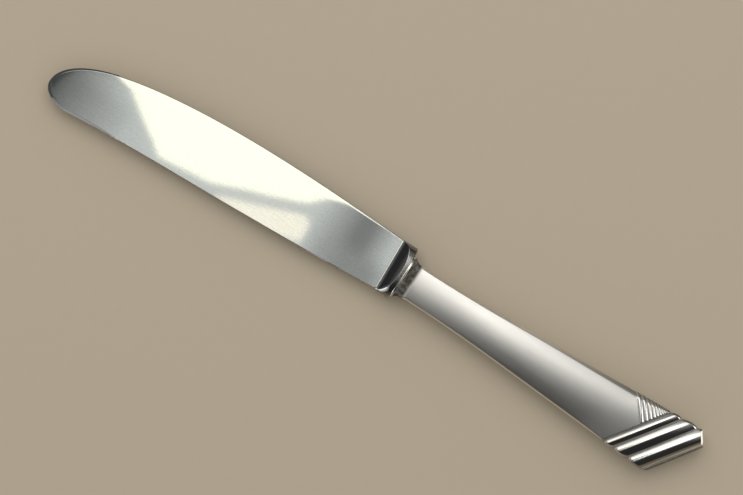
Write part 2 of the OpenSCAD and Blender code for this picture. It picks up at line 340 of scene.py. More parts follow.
def row_side(a, side, steps, inset, ribbed, low):
    """One side of every row, from the middle of the face to the rim: places across, and heights."""
    rib = ribbed * rib_height(from_end(a))
    over = round_over(from_end(a) - inset)
    whole = reach_at(a, side) + rib - inset - end_corner * (1 - over)
    reach = whole
    if side < 0:
        to_cut = (cut_normal[0] * a - cut_place + inset) / (cut_normal[0] * lean + cut_normal[1])
        reach = np.where(a < first_station, np.minimum(whole, to_cut), whole)
    facet = np.clip((whole - reach) / facet_blend, 0, 1)
    rib_roll = rib_back_roll
    plain_roll = side_roll
    if side < 0:
        rib_roll = rib_edge_roll
        plain_roll = side_roll + (edge_roll - side_roll) * eased((-a - edge_roll_start) / edge_roll_length)
    plain_roll = plain_roll + (rib_roll - plain_roll) * ribbed_share(a) ** rib_roll_power
    roll = plain_roll + (facet_roll - plain_roll) * facet
    roll = np.minimum(np.maximum(roll - inset, least_roll), reach * most_roll_share)
    power = 2 / (side_roundness + (facet_roundness - side_roundness) * facet)
    turns = np.linspace(math.pi / 2, 0, roll_steps + 1)
    share = np.linspace(0, 1, steps, endpoint=False)
    edge = reach - roll * (1 - np.maximum(np.cos(turns), 0) ** power)
    rise = np.maximum(np.sin(turns), 0) ** power
    y = np.concatenate([(reach - roll) * share, edge], axis=1)
    rise = np.concatenate([np.ones((len(a), steps)), rise], axis=1)
    top = np.maximum((half_thickness(a) + rib - inset) * over, low + end_height - inset / 2)
    face = top * (1 - crown_at(a) * (y / whole) ** 2)
    return side * y, low + (face - low) * rise


def skin(stations, inset, ribbed, low):
    """Corners of the handle's skin, row by row: inset from the outer face, with its rim at height low."""
    a = stations[:, None]
    back_y, back_z = row_side(a, 1.0, back_steps, inset, ribbed, low)
    edge_y, edge_z = row_side(a, -1.0, edge_steps, inset, ribbed, low)
    y = np.concatenate([back_y[:, ::-1], edge_y[:, 1:]], axis=1)
    z = np.concatenate([back_z[:, ::-1], edge_z[:, 1:]], axis=1)
    return np.stack([a + station_lean(a) * y, y, z], axis=-1)


print("crown at the mouth and mid handle", [round(float(crown_at(a)), 3) for a in (0.0, -handle_length / 2)])

# %% [markdown]
# ## The reeded field
# Beside the ribs lies a triangle of fine reeds that slant the other way and get narrower towards the point.
# They are a third of a millimetre high, with sharp valleys. They could be a bump in the finish, but then the
# outline would stay smooth, so the skin itself is raised along its normals.

# %% The reeds' heights
reed_count = 9
reed_start = (-82.7, -9.7)
reed_angle = math.radians(53)
reed_widest = 1.6
reed_narrowest = 0.45
reed_relief = 0.34
reed_sink = 0.15
reed_fade = 0.35
reed_foot = 0.45
reed_foot_run = 1.5
full_reeds = 3
reed_widths = np.linspace(reed_widest, reed_narrowest, reed_count)
reed_edges = np.concatenate([[0.0], np.cumsum(reed_widths)])


def reeds(places):
    """Height of the reeds, how deep in a valley each corner lies, and how far into the field."""
    x = places[..., 0]
    y = places[..., 1]
    across = -math.sin(reed_angle) * (x - reed_start[0]) - math.cos(reed_angle) * (y - reed_start[1])
    which = np.clip(np.searchsorted(reed_edges, across) - 1, 0, reed_count - 1)
    middle = (reed_edges[which] + reed_edges[which + 1]) / 2
    share = (across - middle) / (reed_widths[which] / 2)
    inside = (across > 0) & (across < reed_edges[-1]) & (y < 0)
    ahead = from_end(x - lean * y) - ribs_width - rib_valley
    above = eased((places[..., 2] - reed_foot) / reed_foot_run)
    field = np.where(inside, eased(ahead / reed_fade) * above, 0.0)
    relief = reed_relief * np.minimum(1.0, reed_widths[which] / reed_widths[full_reeds - 1])
    hump = 1 - share * share
    return field * relief * (hump - reed_sink), field * np.abs(share) ** 4, field


def outward(places):
    """Unit normals of a shaped grid, pointing away from the handle's axis."""
    along = np.gradient(places, axis=0)
    across = np.gradient(places, axis=1)
    normal = np.cross(along, across)
    normal /= np.maximum(np.linalg.norm(normal, axis=-1, keepdims=True), 1e-9)
    away = np.sum(normal[..., 1:] * places[..., 1:], axis=-1, keepdims=True)
    return normal * np.where(away < 0, -1.0, 1.0)


print("reed edges", reed_edges.round(2).tolist())

# %% [markdown]
# ## The two stamped halves
# Each half is a sheet less than a millimetre thick. Its outer face and its lining are two shaped grids. The
# last row of each is filled to close the butt, and bridging their free edges makes the rims and the mouth.
# The far half is a copy of the near one, mirrored in the seam.

# %% Rows of a half
sheet = 0.9
solder = 0.15
rim_height = solder / 2
lining_end = end_station + sheet / math.sin(rib_angle)
lip_rows_end = -7.0
reed_rows_start = -74.5
ramp_station = first_station + rib_valley / math.sin(rib_angle)


def rib_rows(low, high, count):
    """Rows across one rib, from its high side to just before its low side."""
    return end_station + np.linspace(high, low, count, endpoint=False) / math.sin(rib_angle)


plain_spans = (
    (0, lip_rows_end, 26),
    (lip_rows_end, reed_rows_start, 30),
    (reed_rows_start, ramp_station, 120),
    (ramp_station, first_station, 5),
)
rib_spans = (
    (end_rib + middle_rib, ribs_width, 18),
    (end_rib, end_rib + middle_rib, 20),
    (end_rib_crest, end_rib, 12),
)
end_turn = np.linspace(0, math.pi / 2, 18)
handle_stations = np.concatenate(
    [np.linspace(start, end, count, endpoint=False) for start, end, count in plain_spans]
    + [rib_rows(low, high, count) for low, high, count in rib_spans]
    + [end_station + end_rib_crest * (1 - np.sin(end_turn)) / math.sin(rib_angle)]
)
print(len(handle_stations), "rows")


# %% Marks on the handle
# Each mark has its strength, how far it reaches and the run over which it fades.
rib_polish = (1.0, ribs_width + rib_valley + 0.3, 0.4)
mouth_polish = (1.0, 3.6, 1.0)
valley_tarnish = (0.75, 0.5, 0.25)
# The next three marks are painted shade: they darken the very end, the sides along the seam and the cove
# behind the mouth.
end_shade = (0.9, 1.8, 1.4)
seam_shade = (0.8, 1.2, 0.6)
mouth_shade = (1.0, 3.9, 1.3)


def mark(distance, strength, reach, run):
    """Full strength close by, and nothing further off than it reaches."""
    return strength * eased((reach - distance) / run)


def polish_marks(places, e, field):
    """Where the outside is polished: ribs, reeds and mouth."""
    return np.maximum(np.maximum(mark(e, *rib_polish), field), mark(-places[..., 0], *mouth_polish))


def tarnish_and_shade_marks(places, e, reed_valley):
    """Where the silver is darkened: tarnish in the valleys, and painted shade at the very end, along the seam
    and behind the mouth.
    """
    to_valley = np.minimum.reduce([np.abs(e - v) for v in (end_rib, end_rib + middle_rib, ribs_width)])
    hollow = np.maximum(mark(to_valley, *valley_tarnish), mark(e, *end_shade))
    seam = mark(places[..., 2], *seam_shade)
    return np.maximum.reduce([hollow, seam, reed_valley, mark(-places[..., 0], *mouth_shade)])


# %% The near half
def close_end(half, row, last_row):
    """Fill the arch of corners in a grid's last row."""
    edit("DESELECT")
    bpy.ops.mesh.select_mode(type="VERT")
    leave_edit()
    half.data.vertices.foreach_set("select", row == last_row)
    bpy.ops.object.mode_set(mode="EDIT")
    bpy.ops.mesh.edge_face_add()
    leave_edit()


def outer_face(name):
    """The outside of a half, with its ribs and reeds, and notes of its polish and of its tarnish and painted
    shade.
    """
    plain = skin(handle_stations, 0.0, 1.0, rim_height)
    height, valley, field = reeds(plain)
    raised = plain + outward(plain) * height[..., None]
    raised[:, [0, -1]] = plain[:, [0, -1]]
    outer = flat_grid(name, raised.shape[0], raised.shape[1])
    row, column = shape_grid(outer, raised)
    e = from_end(handle_stations)[:, None] + 0 * height
    note_on_corners(outer, "polish", polish_marks(plain, e, field)[row, column])
    # Tarnish in the valleys, and painted shade at the end, along the seam and behind the mouth.
    note_on_corners(outer, "recess", tarnish_and_shade_marks(plain, e, valley)[row, column])
    close_end(outer, row, raised.shape[0] - 1)
    return outer


def lining_face(name):
    """The inside of a half, one sheet's thickness in from the outside and without its ribs."""
    inner = skin(handle_stations * lining_end / end_station, sheet, 0.0, rim_height)
    lining = flat_grid(name, inner.shape[0], inner.shape[1])
    row, column = shape_grid(lining, inner)
    close_end(lining, row, inner.shape[0] - 1)
    return lining


front_half = outer_face("handle_front")
lining = lining_face("handle_lining")
front_half.select_set(True)
bpy.context.view_layer.objects.active = front_half
bpy.ops.object.join()
edit("DESELECT")
bpy.ops.mesh.select_mode(type="EDGE")
bpy.ops.mesh.select_non_manifold(extend=False)
bpy.ops.mesh.bridge_edge_loops()
leave_edit()
settle(front_half)
print("front half", triangles(front_half), "triangles")

# %% The far half
handle_smooth = math.radians(40)
pick(front_half)
bpy.ops.object.duplicate()
back_half = bpy.context.object
back_half.name = "handle_back"
back_half.data.name = "handle_back"
edit()
bpy.ops.transform.resize(value=(1, 1, -1), center_override=mouth)
bpy.ops.mesh.normals_make_consistent(inside=False)
leave_edit()
for half in (front_half, back_half):
    pick(half)
    bpy.ops.object.shade_smooth_by_angle(angle=handle_smooth)
print("back half", triangles(back_half), "triangles")

# %% [markdown]
# ## The blade's outline
# The blade is ground to a pattern: a nearly straight edge that sweeps up to a round tip, and a back that dips
# a little before it rises to meet it. Four cubic curves, two on each side, follow it with few points.

# %% The blade's outline
blade_length = 124.6
heel = tip - blade_length
heel_edge = 9.95
heel_back = 8.15
tip_rise = 8.8
sweep_slope = math.radians(13)
sweep_direction = np.array([math.cos(sweep_slope), math.sin(sweep_slope)])
edge_heel = np.array([heel, -heel_edge])
edge_sweep = np.array([tip - 19.1, -4.95])
very_tip = np.array([tip, tip_rise])
back_crest = np.array([tip - 9.1, 14.7])
back_heel = np.array([heel, heel_back])
edge_heel_pull = [35, -1.25]
belly_pull = 30.8
sweep_pull = 10.3
tip_edge_pull = [0, 6.46]
tip_back_pull = [0, 3.22]
crest_tip_pull = [5.0, 0]
crest_heel_pull = [-32, -3.35]
back_heel_pull = [43, 3.95]


def cubic(start, first_pull, second_pull, end, count=400):
    """Points on a cubic curve."""
    t = np.linspace(0, 1, count)[:, None]
    return (start * (1 - t) ** 3 + first_pull * 3 * t * (1 - t) ** 2
            + second_pull * 3 * t ** 2 * (1 - t) + end * t ** 3)


belly = cubic(edge_heel, edge_heel + edge_heel_pull, edge_sweep - belly_pull * sweep_direction, edge_sweep)
sweep = cubic(edge_sweep, edge_sweep + sweep_pull * sweep_direction, very_tip - tip_edge_pull, very_tip)
crest = cubic(back_crest, back_crest + crest_tip_pull, very_tip + tip_back_pull, very_tip)
back = cubic(back_heel, back_heel + back_heel_pull, back_crest + crest_heel_pull, back_crest)
edge_line = np.concatenate([belly, sweep[1:]])
back_line = np.concatenate([back, crest[1:]])
print("edge", edge_line[0].round(2), "to", edge_line[-1].round(2))

# %% [markdown]
# ## The blade's section
# Each side is ground flat, thinner towards the edge and the tip. A steep chamfer follows the edge and gets
# flatter round the tip, where it shows as a dark crescent. Past the tip a pale line follows the back, where
# another chamfer fades out over a square side. Beside the edge the flat swells by hundredths of a millimetre,
# and near the heel it is honed to a hairline. The chamfers need the true distance from each corner of the
# grid to the outline, so that they turn the tip evenly.

# %% The blade's section
heel_thickness = 2.6
edge_taper = math.tan(math.radians(2.3))
tip_taper = math.tan(math.radians(0.25))
edge_angle = 60.0
tip_angle = 37.0
edge_reach = (32.0, 22.0)
back_angle = 42.0
back_width = 0.8
back_reach = (36.0, 22.0)
side_slope = math.tan(math.radians(80))
bevel_slope = math.tan(math.radians(2.8))
bevel_width = 0.6
bevel_end = 40.0
bevel_fade = 20.0
swell_slope = 0.012
swell_width = 3.0
tip_turn = 6.0
chamfer_round = 0.05
places_at_once = 1000


def soft_max(a, b, width):
    """The larger of two heights, with the corner between them rounded."""
    share = np.clip(0.5 + 0.5 * (a - b) / width, 0, 1)
    return b + (a - b) * share + width * share * (1 - share)


def soft_min(a, b, width):
    """The smaller of two heights, with the corner between them rounded."""
    return -soft_max(-a, -b, width)


def distance_to(line, x, y):
    """Distance in plan from each place to a line of points."""
    flat = np.stack([x.ravel(), y.ravel()], axis=-1)
    result = np.empty(len(flat))
    for part in range(0, len(flat), places_at_once):
        some = flat[part:part + places_at_once]
        gaps = ((some[:, None, :] - line[None, :, :]) ** 2).sum(-1)
        nearest = np.clip(gaps.argmin(axis=1), 1, len(line) - 2)
        best = np.full(len(some), np.inf)
        for step in (-1, 0):
            start = line[nearest + step]
            run = line[nearest + step + 1] - start
            share = np.clip(((some - start) * run).sum(-1) / (run * run).sum(-1), 0, 1)
            best = np.minimum(best, np.linalg.norm(some - start - share[:, None] * run, axis=-1))
        result[part:part + places_at_once] = best
    return result.reshape(x.shape)


def flat_height(x, y):
    """Height of the flat side over the mid-plane, without its chamfer."""
    return heel_thickness / 2 - tip_taper * (x - heel) + edge_taper * (y - heel_back)


def near_tip(x, reach, blend):
    """0 along the blade and 1 near its tip."""
    return eased((reach - (tip - x)) / blend)


def edge_slope(x):
    """How steep the chamfer of the edge is."""
    return np.tan(np.radians(edge_angle + (tip_angle - edge_angle) * near_tip(x, *edge_reach)))


def back_chamfer(x):
    """How wide the chamfer of the back is: it fades out along the blade."""
    return back_width * near_tip(x, *back_reach)


def side_height(x, y, flat):
    """Height of the blade's side over its mid-plane, with chamfers cut into a flat height."""
    held_x = np.maximum(x, heel)
    from_back = distance_to(back_line, held_x, y)
    from_edge = distance_to(edge_line, held_x, y)
    at_back = eased((from_edge - from_back) / tip_turn)
    bevel = bevel_slope * np.maximum(bevel_width - from_edge, 0) * eased((bevel_end - x) / bevel_fade)
    swell = swell_slope * np.maximum(swell_width - from_edge, 0) ** 2 / (2 * swell_width)
    flat = flat - bevel - swell
    at_edge = edge_slope(x)
    slope = at_edge + (math.tan(math.radians(back_angle)) - at_edge) * at_back
    width = flat / at_edge * (1 - at_back) + back_chamfer(x) * at_back
    inside = np.minimum(from_back, from_edge)
    chamfer = np.minimum(flat - slope * (width - inside), side_slope * inside)
    return soft_min(flat, chamfer, chamfer_round)


print("half thickness at the heel", [round(float(flat_height(heel, y)), 2) for y in (heel_back, -heel_edge)])

# %% [markdown]
# ## The forging
# Blade, shoulder and tang are one forging, so they are one sheet of rows here: the tang, the step behind the
# band, the oval band, the faces sloping to the blade, the fillet at their foot, and the blade to its tip. The
# rim between band and face is crisp, but worn round at its back end. Only the upper half is shaped, and a
# Mirror modifier gives the lower half. Some columns follow the chamfers, which keeps those lines clean.

# %% Columns of the blade
round_steps = 8
face_steps = 84
bevel_steps = 6
edge_column_reach = 1.4
back_column_reach = 1.2
back_column_least = 0.35
most_column_share = 0.25
steepest = 30
round_share = np.concatenate([1 - np.cos(np.linspace(0, math.pi / 2, round_steps + 1)),
                              np.ones(face_steps + bevel_steps)])
face_share = np.concatenate([np.zeros(round_steps), np.linspace(0, 1, face_steps + 1), np.ones(bevel_steps)])
bevel_share = np.concatenate([np.zeros(round_steps + face_steps), np.linspace(0, 1, bevel_steps + 1)])
forging_columns = len(face_share)


def stretch(line, x):
    """How much longer a line is than its run along the knife, at places along it."""
    slope = np.gradient(line[:, 1]) / np.maximum(np.gradient(line[:, 0]), 1e-6)
    return np.interp(x, line[:, 0], np.hypot(1, np.clip(slope, -steepest, steepest)))


def ground_across(x):
    """Where each column of the blade lies, at its own place along the knife."""
    edge_y = np.interp(x, edge_line[:, 0], edge_line[:, 1])
    back_y = np.interp(x, back_line[:, 0], back_line[:, 1])
    width = back_y - edge_y
    most = most_column_share * width
    edge_chamfer = edge_column_reach * flat_height(x, edge_y) / edge_slope(x)
    back_round = back_column_reach * back_chamfer(x) + back_column_least
    rounding = np.minimum(back_round * stretch(back_line, x), most)
    bevel = np.minimum(edge_chamfer * stretch(edge_line, x), most)
    return back_y - rounding * round_share - (width - rounding - bevel) * face_share - bevel * bevel_share


print(forging_columns, "columns")

# %% Rows of the forging
shoulder_edge = 10.05
shoulder_back = 8.6
band_half = 4.8
band_squareness = 2.5
groove_depth = 0.5
plate_front = (plate_high.x - mouth.x) / MM
plate_gap = 0.05
groove_width = 0.3
shoulder_heel = plate_front + plate_gap
band_back = shoulder_heel + groove_width
band_edge_round = 0.12
tang_length = 62.0
tang_root = (3.0, 1.8)
tang_end = (1.8, 1.2)
tang_squareness = 8.0
root_half = heel_thickness / 2 - edge_taper * (heel_back + heel_edge) / 2
fillet = 0.5
rim_round = 0.14
back_rim_round = 1.3
back_rim_start = 4.0
back_rim_run = 3.5
face_least = 0.3
join_start = 1.5
join_run = 2.5
blade_rows = 150
band_steps = (0.25, 0.5, 0.75, 1.0)
before_rim = (-0.2, -0.13, -0.07, 0.0)
after_rim = (0.07, 0.13, 0.2, 0.3)
slope_steps = (0.25, 0.5, 0.75)
before_foot = (-0.9, -0.75, -0.6, -0.45, -0.3, -0.15, 0.0)
after_foot = (0.15, 0.3, 0.45, 0.6, 0.75, 0.9, 1.1, 1.4)
oval_middle = (shoulder_back - shoulder_edge) / 2
oval_half = (shoulder_back + shoulder_edge) / 2


def oval_height(y, inset=0.0):
    """Height of the oval band."""
    share = np.clip(np.abs(y - oval_middle) / (oval_half - inset), 0, 1)
    return (band_half - inset) * (1 - share ** band_squareness) ** (1 / band_squareness)


def oval_across(inset=0.0):
    """Where each column lies on the oval band."""
    turn = np.linspace(0, math.pi, forging_columns)
    c = np.cos(turn)
    return oval_middle + (oval_half - inset) * np.sign(c) * np.abs(c) ** (2 / band_squareness)


def tang_row(x, half_wide, half_high):
    """One row of the tang, a square with small corners."""
    turn = np.linspace(0, math.pi, forging_columns)
    c = np.cos(turn)
    s = np.maximum(np.sin(turn), 0)
    y = half_wide * np.sign(c) * np.abs(c) ** (2 / tang_squareness)
    return np.stack([x + 0 * y, y, half_high * s ** (2 / tang_squareness)], axis=-1)


def rim_line():
    """Where the sloping face meets the band, column by column."""
    return heel + root_half - oval_height(oval_across())


def foot_line():
    """Where the sloping face meets the blade, column by column."""
    x = np.full(forging_columns, heel)
    y = ground_across(x)
    root = side_height(x, y, flat_height(x, y))
    lowest = np.minimum(root, oval_height(oval_across()))
    return np.maximum(heel + root_half - lowest, rim_line() + face_least)


def shoulder_places():
    """Rows over the shoulder and the blade: where each column is along the knife."""
    rim = rim_line()
    foot = foot_line()
    run = np.minimum(1, (foot - rim) / 2)
    start = band_back + band_edge_round
    top = rim + after_rim[-1] * run
    bottom = foot + before_foot[0] * run
    last = foot + after_foot[-1]
    places = [start + (rim - face_least - start) * share for share in band_steps]
    places += [rim + step for step in before_rim]
    places += [rim + step * run for step in after_rim]
    places += [top + (bottom - top) * share for share in slope_steps]
    places += [foot + step * run for step in before_foot]
    places += [foot + step for step in after_foot]
    shares = np.linspace(0, 1, blade_rows + 1)[1:]
    places += [last + (tip - last) * (1 - (1 - share) ** 2) for share in shares]
    return np.array(places)


def forging_rows():
    """Corners of the upper half of the forging, row by row from the tang's end to the tip."""
    rows = [tang_row(shoulder_heel - tang_length, *tang_end), tang_row(shoulder_heel, *tang_root)]
    turns = np.linspace(0, math.pi / 2, 5)
    steps = [(shoulder_heel, groove_depth), (band_back, groove_depth)]
    steps += [(band_back + band_edge_round * (1 - math.cos(turn)), band_edge_round * (1 - math.sin(turn)))
              for turn in turns]
    for x, inset in steps:
        y = oval_across(inset)
        rows.append(np.stack([x + 0 * y, y, oval_height(y, inset)], axis=-1))
    x = shoulder_places()
    joined = eased((x - (heel - join_start)) / join_run)
    y = oval_across() * (1 - joined) + ground_across(x) * joined
    past_rim = np.maximum(x - heel - root_half + oval_height(oval_across()), 0)
    ground = soft_max(heel + root_half - x, side_height(x, ground_across(x), flat_height(x, y)), fillet)
    worn = eased((oval_across() - back_rim_start) / back_rim_run)
    rounding = rim_round + (back_rim_round - rim_round) * worn
    z = np.maximum(soft_min(oval_height(oval_across()) + past_rim, ground, rounding), 0)
    z[:, [0, -1]] = 0
    rows.extend(np.stack([x, y, z], axis=-1))
    return np.array(rows)


# %% The forging
shoulder_polish = 0.5
shoulder_polish_run = 1.2
rim_run = 0.2
foot_offset = 0.1
foot_run = 0.5
blade_smooth = math.radians(38)
upper = forging_rows()
knife_blade = flat_grid("knife_blade", upper.shape[0], upper.shape[1])
row, column = shape_grid(knife_blade, upper)
along = upper[..., 0][row, column]
note_on_corners(knife_blade, "polish", 1 - eased((along - heel - shoulder_polish) / shoulder_polish_run))
# Marks the band behind the rim: it is rougher there, and its colour is painted dark as shade.
note_on_corners(knife_blade, "dull", eased((rim_line()[column] - along) / rim_run))
past_foot = along - foot_line()[column] - foot_offset
note_on_corners(knife_blade, "soft", np.exp(-(past_foot / foot_run) ** 2))
mirror = knife_blade.modifiers.new("lower_half", "MIRROR")
mirror.use_axis = (False, False, True)
mirror.use_mirror_merge = True
mirror.merge_threshold = 1e-6
bpy.ops.object.modifier_apply(modifier=mirror.name)
edit()
bpy.ops.mesh.remove_doubles(threshold=seam_gap)
bpy.ops.mesh.select_all(action="DESELECT")
bpy.ops.mesh.select_mode(type="EDGE")
bpy.ops.mesh.select_non_manifold(extend=False)
bpy.ops.mesh.edge_face_add()
leave_edit()
settle(knife_blade)
bpy.ops.object.shade_smooth_by_angle(angle=blade_smooth)
print("forging", triangles(knife_blade), "triangles")

# %% [markdown]
# ## The ferrule ring
# The plate that closes the handle shows as a thin ring behind the band. Its shape is right in the
# construction model, but its edges are sharp there. A copy of it is merged, its flat faces are joined up, and
# a bevel breaks its edges as a polishing wheel would.

# %% The ferrule ring
ring_bevel = 0.18
ring = bpy.data.objects.new("ferrule_ring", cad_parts["ferrule_plate"].data.copy())
bpy.context.scene.collection.objects.link(ring)
pick(ring)
edit()
bpy.ops.mesh.remove_doubles(threshold=1e-6)
bpy.ops.mesh.dissolve_limited(angle_limit=math.radians(1))
leave_edit()
softened = ring.modifiers.new("softened", "BEVEL")
softened.width = ring_bevel * MM
softened.segments = 3
softened.limit_method = "ANGLE"
softened.angle_limit = math.radians(50)
bpy.ops.object.modifier_apply(modifier=softened.name)
bpy.ops.object.shade_smooth_by_angle(angle=handle_smooth)
note_on_corners(ring, "polish", np.ones(len(ring.data.vertices)))
print("ring", triangles(ring), "triangles")

# %% [markdown]
# ## Writing a finish
# A finish is a small graph of nodes. Written as sums of sockets it reads like arithmetic, so one class wraps
# a socket and adds a Math node for each operator, and one method of the graph adds any other node.


# %% Sockets as numbers
class Amount:
    """A number that varies over a surface: a socket with Python's operators."""

    def __init__(self, tree, socket):
        self.tree = tree
        self.socket = socket

    def math(self, operation, first, second):
        node = self.tree.nodes.new("ShaderNodeMath")
        node.operation = operation
        for place, value in enumerate((first, second)):
            if isinstance(value, Amount):
                self.tree.links.new(value.socket, node.inputs[place])
            else:
                node.inputs[place].default_value = value
        return Amount(self.tree, node.outputs[0])

    def __add__(self, other):
        return self.math("ADD", self, other)

    def __radd__(self, other):
        return self.math("ADD", other, self)

    def __sub__(self, other):
        return self.math("SUBTRACT", self, other)

    def __rsub__(self, other):
        return self.math("SUBTRACT", other, self)

    def __mul__(self, other):
        return self.math("MULTIPLY", self, other)

    def __rmul__(self, other):
        return self.math("MULTIPLY", other, self)


class Graph:
    """A graph of nodes that starts empty, with one method that adds a node."""

    def __init__(self, owner):
        owner.use_nodes = True
        self.owner = owner
        self.tree = owner.node_tree
        self.tree.nodes.clear()

    def node(self, kind, settings=None, output=0, **inputs):
        """Add a node, set it up, fill its sockets, and give back one of its outputs."""
        made = self.tree.nodes.new(kind)
        for name, value in (settings or {}).items():
            if name == "stops":
                ramp = made.color_ramp.elements
                while len(ramp) < len(value):
                    ramp.new(1.0)
                for stop, (place, colour) in zip(ramp, value):
                    stop.position = place
                    stop.color = colour
            else:
                setattr(made, name, value)
        for name, value in inputs.items():
            key = int(name[1:]) if name[0] == "i" and name[1:].isdigit() else name.replace("_", " ")
            socket = made.inputs[key]
            if isinstance(value, Amount):
                self.tree.links.new(value.socket, socket)
            else:
                socket.default_value = value
        return Amount(self.tree, made.outputs[output]) if made.outputs else None

    def note(self, name):
        """A number kept on the corners of the mesh."""
        return self.node("ShaderNodeAttribute", {"attribute_name": name}, output=2)

    def grain(self, stretch, scale, detail, roughness=0.55):
        """Noise between 0 and 1 on the piece, drawn out along its axes."""
        place = self.node("ShaderNodeTexCoord", output=3)
        drawn = self.node("ShaderNodeMapping", Vector=place, Scale=stretch)
        return self.node("ShaderNodeTexNoise", Vector=drawn, Scale=scale, Detail=detail, Roughness=roughness)

    def blend(self, share, first, second):
        """Mix two colours by a share."""
        return self.node("ShaderNodeMix", {"data_type": "RGBA"}, output=2, i0=share, i6=first, i7=second)

    def smooth(self, value, low, high):
        """A smooth step from 0 to 1 as a number goes from low to high."""
        settings = {"interpolation_type": "SMOOTHSTEP"}
        return self.node("ShaderNodeMapRange", settings, Value=value, From_Min=low, From_Max=high)

    def surface(self, **inputs):
        """Finish with one metal or matt surface, and give back the material."""
        shader = self.node("ShaderNodeBsdfPrincipled", **inputs)
        self.node("ShaderNodeOutputMaterial", Surface=shader)
        return self.owner


def finish(name):
    """The graph of a new material."""
    return Graph(bpy.data.materials.new(name))


def wear(piece, material):
    """Give a piece one material all over."""
    piece.data.materials.clear()
    piece.data.materials.append(material)


# %% [markdown]
# ## Silver
# The plain part of the handle is brushed along its length, so light draws out across it. Ribs, reeds and the
# mouth are polished bright, and a little tarnish is left in their valleys. The very end, the sides along the
# seam and the cove behind the mouth are darkened in the same way, as painted shade. Both make the silver
# darker, rougher and less metallic. The marks kept on the mesh say which is which. Fine streaks vary both the
# roughness and the bump.

# %% Silver
evenly = (1, 1, 1)
brushed = (40, 2600, 2600)
silver_bright = (0.87, 0.855, 0.815, 1)
silver_dull = (0.76, 0.75, 0.73, 1)
# Near black: tarnish in the valleys, and painted shade at the end, along the seam and behind the mouth.
silver_tarnish_and_shade = (0.05, 0.043, 0.032, 1)


def silver_finish():
    """Brushed and polished silver, with tarnish in its valleys and painted shade at its end, seam and mouth.
    """
    graph = finish("handle_silver")
    polish = graph.note("polish")
    recess = graph.note("recess")
    streaks = graph.grain(brushed, 1.0, 3.0)
    clouds = graph.grain(evenly, 90.0, 3.0)
    # Tarnish and painted shade, mottled: darker, rougher and less metallic.
    tarnish_and_shade_amount = recess * (0.65 + graph.grain(evenly, 900.0, 4.0) * 0.6)
    plain = 1 - polish
    colour = graph.blend(clouds * 0.5 + streaks * 0.3 * plain, silver_bright, silver_dull)
    tarnished_and_shaded = graph.blend(tarnish_and_shade_amount, colour, silver_tarnish_and_shade)
    roughness = 0.14 + plain * (0.13 + streaks * 0.12) + clouds * 0.03 + tarnish_and_shade_amount * 0.35
    metallic = 1 - tarnish_and_shade_amount * 0.9
    fine = graph.node("ShaderNodeBump", Strength=0.22, Distance=0.00004, Height=streaks * plain)
    return graph.surface(
        Base_Color=tarnished_and_shaded, Metallic=metallic, Roughness=roughness, Normal=fine, Specular_IOR_Level=0.15
    )


silver = silver_finish()
for piece in (front_half, back_half, ring):
    wear(piece, silver)
print("silver nodes", len(silver.node_tree.nodes))

# %% [markdown]
# ## Steel
# The blade is ground and glazed to a fine satin, which breaks a reflection into a faint speckle without
# hiding it. Its surface also wavers by hundredths of a millimetre, as hand grinding leaves it, so reflections
# have slightly curved borders. The shoulder's face is polished, while the band and the fillet, which no wheel
# reaches well, are duller. The band's colour is also darkened nearly to black, a painted shade.

# %% Steel
speckled = (1500, 2600, 1500)
scratched = (160, 5200, 1500)
steel_light = (0.69, 0.7, 0.69, 1)
steel_dark = (0.43, 0.445, 0.445, 1)
# Nearly black: painted shade on the band behind the shoulder's rim.
steel_band_shade = (0.15, 0.14, 0.125, 1)


def steel_finish():
    """Satin steel with a polished face and a duller band, whose colour is painted dark as shade."""
    graph = finish("blade_steel")
    polish = graph.note("polish")
    dull = graph.note("dull")
    soft = graph.note("soft")
    speckle = graph.grain(speckled, 1.0, 2.0)
    scratches = graph.grain(scratched, 1.0, 2.0)
    waver = graph.grain(evenly, 28.0, 1.0)
    plain = 1 - polish
    ground_colour = graph.blend(speckle * 0.6 + scratches * 0.4, steel_light, steel_dark)
    # The band's colour is painted dark as shade.
    colour = graph.blend(dull * 0.75, ground_colour, steel_band_shade)
    roughness = 0.03 + plain * (speckle * 0.015 + scratches * 0.015) + dull * 0.2 + soft * 0.15
    ground = graph.node("ShaderNodeBump", Strength=0.2, Distance=0.00025, Height=waver)
    fine = graph.node(
        "ShaderNodeBump", Strength=0.03, Distance=0.00002, Height=(speckle + scratches) * plain, Normal=ground
    )
    return graph.surface(Base_Color=colour, Metallic=1.0, Roughness=roughness, Normal=fine)


steel = steel_finish()
wear(knife_blade, steel)
print("steel nodes", len(steel.node_tree.nodes))

# %% [markdown]
# ## Solder and cement
# The seam between the halves is filed flush, and shows as a hairline slightly duller than the silver. The
# cement inside is resin with brick dust. Both keep their construction shapes and get their own finish.

# %% Solder and cement
solder_light = (0.72, 0.71, 0.68, 1)
solder_dark = (0.5, 0.48, 0.44, 1)
cement_red = (0.34, 0.21, 0.14, 1)
cement_dark = (0.2, 0.13, 0.09, 1)


def solder_finish():
    """Solder with fine pits."""
    graph = finish("silver_solder")
    pitting = graph.grain(evenly, 1400.0, 4.0)
    colour = graph.blend(pitting, solder_light, solder_dark)
    return graph.surface(Base_Color=colour, Metallic=1.0, Roughness=0.2 + pitting * 0.2)


def cement_finish():
    """Matt cement with grit."""
    graph = finish("knife_cement")
    grit = graph.grain(evenly, 2200.0, 6.0)
    colour = graph.blend(grit, cement_red, cement_dark)
    rough = graph.node("ShaderNodeBump", Strength=0.6, Distance=0.0001, Height=grit)
    return graph.surface(Base_Color=colour, Metallic=0.0, Roughness=0.75 + grit * 0.2, Normal=rough)


